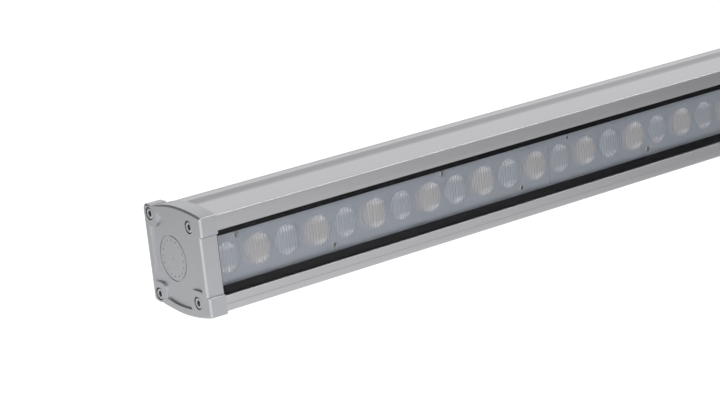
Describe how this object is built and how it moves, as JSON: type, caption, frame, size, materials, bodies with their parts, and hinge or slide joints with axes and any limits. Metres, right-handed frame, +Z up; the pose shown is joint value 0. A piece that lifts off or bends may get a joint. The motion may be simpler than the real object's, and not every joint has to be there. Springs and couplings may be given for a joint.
{
  "type": "outdoor wall washer light",
  "caption": "Slim outdoor wall washer: anodised profile with lens strips behind glass, cast end caps, and two feet on which it tilts and slides.",
  "frame": {"origin": "centre of the pattern of the two wall slots, on the wall side of the feet", "axes": "+X along the lamp towards the cable gland, +Y into the wall, +Z up; the lamp faces -Y"},
  "size_m": [1.021, 0.135, 0.0828],
  "materials": {
    "anodised_profile": "satin natural anodised",
    "cast_cap": "silver enamel on a die casting, fine texture",
    "stainless_steel": "plain",
    "tempered_glass": "polished",
    "black_print": "fired enamel print behind glass",
    "black_rubber": "matt",
    "clear_acrylic": "moulded, polished",
    "white_board": "white solder mask on aluminium",
    "warm_phosphor": "phosphor under clear silicone",
    "cool_phosphor": "phosphor under clear silicone",
    "copper": "tinned in places",
    "green_board": "solder mask",
    "dark_component": "moulded",
    "wire_sheath": "soft",
    "black_nylon": "moulded, slightly glossy"
  },
  "bodies": {
    "wall_feet": {"left_foot": "stainless_steel", "right_foot": "stainless_steel", "pivot_bolts": "stainless_steel", "pivot_washers": "stainless_steel", "pivot_nuts": "stainless_steel"},
    "clamps": {"left_rail_nut": "stainless_steel", "right_rail_nut": "stainless_steel", "left_clamp": "stainless_steel", "right_clamp": "stainless_steel", "clamp_screws": "stainless_steel"},
    "lamp": {"profile": "anodised_profile", "left_end_cap": "cast_cap", "right_end_cap": "cast_cap", "left_cap_gasket": "black_rubber", "right_cap_gasket": "black_rubber", "cap_screws": "stainless_steel", "front_glass": "tempered_glass", "glass_border_print": "black_print", "glass_seal": "black_rubber", "lens_strip_1": "clear_acrylic", "lens_strip_2": "clear_acrylic", "lens_strip_3": "clear_acrylic", "led_board_1": "white_board", "led_board_2": "white_board", "led_board_3": "white_board", "warm_leds": "warm_phosphor", "cool_leds": "cool_phosphor", "lens_screws": "stainless_steel", "board_screws": "stainless_steel", "board_links": "copper", "driver_board": "green_board", "driver_transformer": "dark_component", "driver_choke": "copper", "driver_capacitors": "dark_component", "driver_transistors": "dark_component", "terminal_block": "green_board", "terminal_screws": "stainless_steel", "feed_wires": "wire_sheath", "earth_lug": "copper", "earth_screw": "stainless_steel", "earth_wire": "wire_sheath", "gland_body": "black_nylon", "gland_gasket": "black_rubber", "gland_locknut": "black_nylon", "gland_sleeve": "black_rubber", "gland_nut": "black_nylon"}
  },
  "joints": [
    {"name": "tilt", "type": "hinge", "parent": "wall_feet", "child": "clamps", "pos_m": [0, -0.044, 0], "axis": [1, 0, 0], "range_deg": [-90, 90]},
    {"name": "rail_slide", "type": "slide", "parent": "clamps", "child": "lamp", "axis": [1, 0, 0], "range_m": [-0.1, 0.1]}
  ]
}
